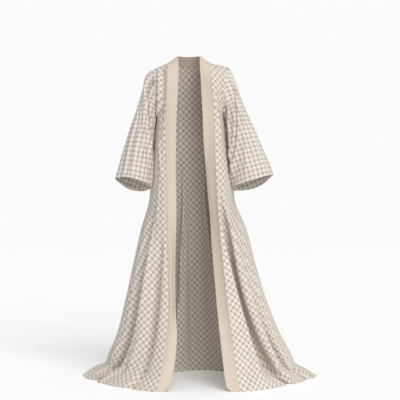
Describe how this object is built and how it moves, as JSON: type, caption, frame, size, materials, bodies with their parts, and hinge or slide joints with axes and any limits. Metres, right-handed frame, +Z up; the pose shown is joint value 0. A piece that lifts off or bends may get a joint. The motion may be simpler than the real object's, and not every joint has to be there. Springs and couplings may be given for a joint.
{
  "type": "open-front kaftan robe",
  "caption": "Floor-length open-front kaftan robe with wide three-quarter sleeves and a plain band round its edges, in its hollow worn form.",
  "frame": {"origin": "middle of the neck on the line of the shoulders, where the wearer's shoulders hold the kaftan up", "axes": "+X to the wearer's left, -Y to the front, +Z up"},
  "size_m": [1.208, 0.5952, 1.6297],
  "materials": {
    "checked_cloth": "matte",
    "plain_band": "matte"
  },
  "bodies": {
    "root": {"front_right": "checked_cloth", "front_left": "checked_cloth", "back": "checked_cloth", "sleeve_right": "checked_cloth", "sleeve_left": "checked_cloth", "band_right": "plain_band", "band_left": "plain_band"}
  },
  "joints": []
}
